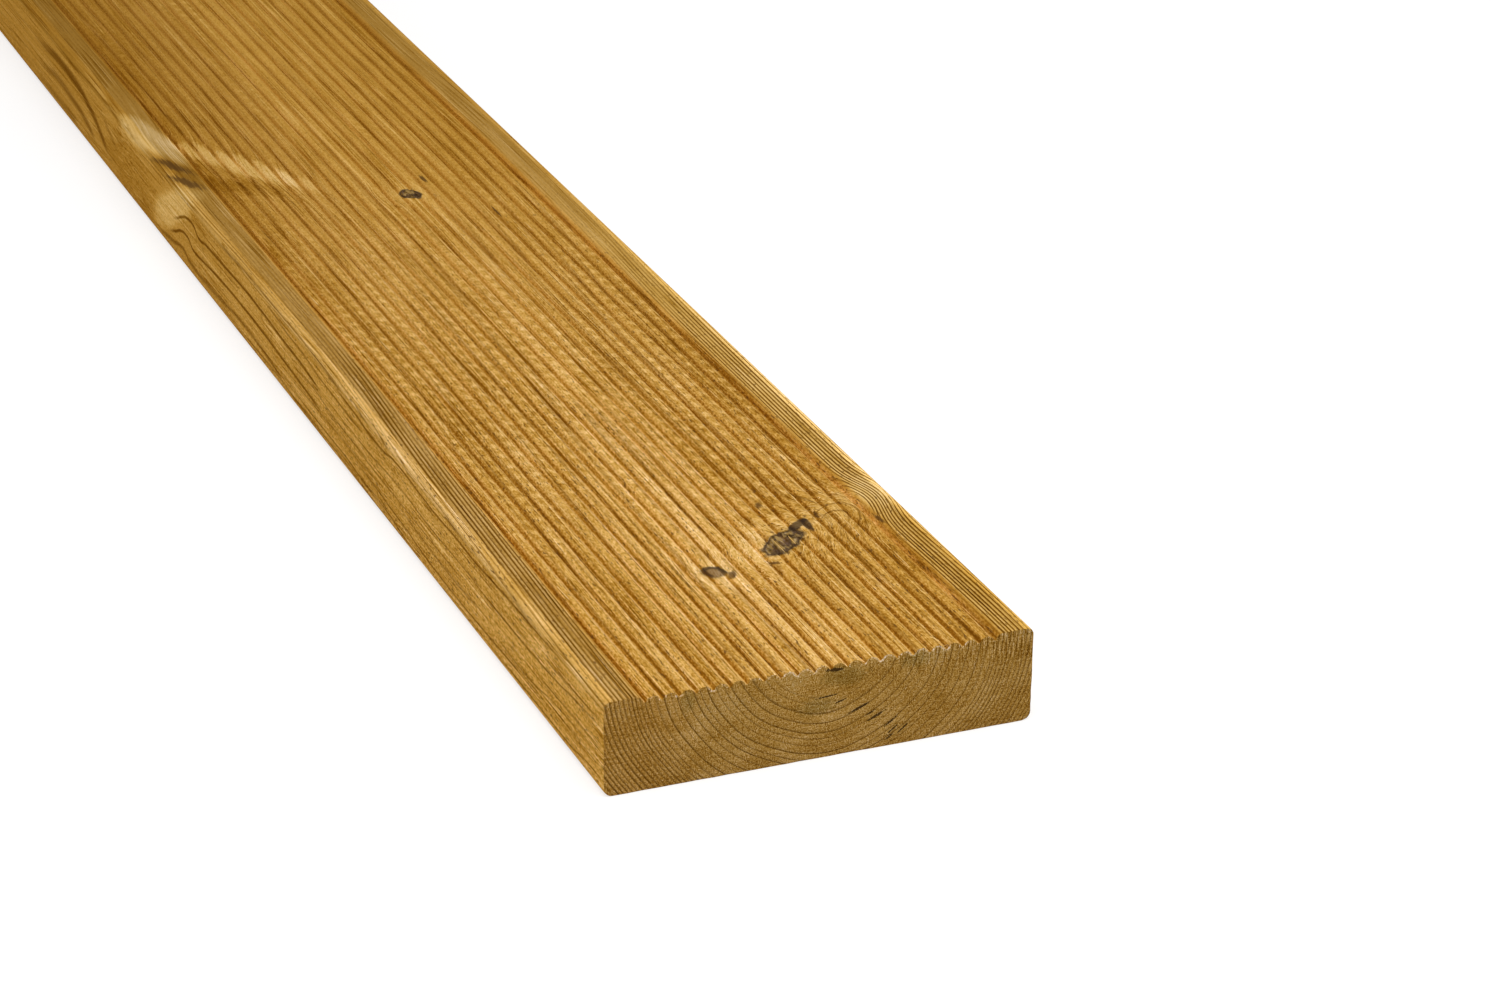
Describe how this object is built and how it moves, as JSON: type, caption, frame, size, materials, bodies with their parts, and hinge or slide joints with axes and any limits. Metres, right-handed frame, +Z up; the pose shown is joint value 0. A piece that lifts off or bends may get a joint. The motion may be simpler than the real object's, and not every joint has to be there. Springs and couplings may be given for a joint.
{
  "type": "decking board",
  "caption": "Softwood decking board with a finely reeded walking face, flat margins, rounded long edges, a plain back and square-sawn ends.",
  "frame": {"origin": "middle of the flat back, halfway along the board", "axes": "+X along the board, +Y across it, +Z up out of the reeded face"},
  "size_m": [1.8, 0.12, 0.027],
  "materials": {
    "planed_softwood": "planed and moulded softwood, yellow-brown, unvarnished and dry, with open end grain at the sawn ends"
  },
  "bodies": {
    "root": {"decking_board": "planed_softwood"}
  },
  "joints": []
}
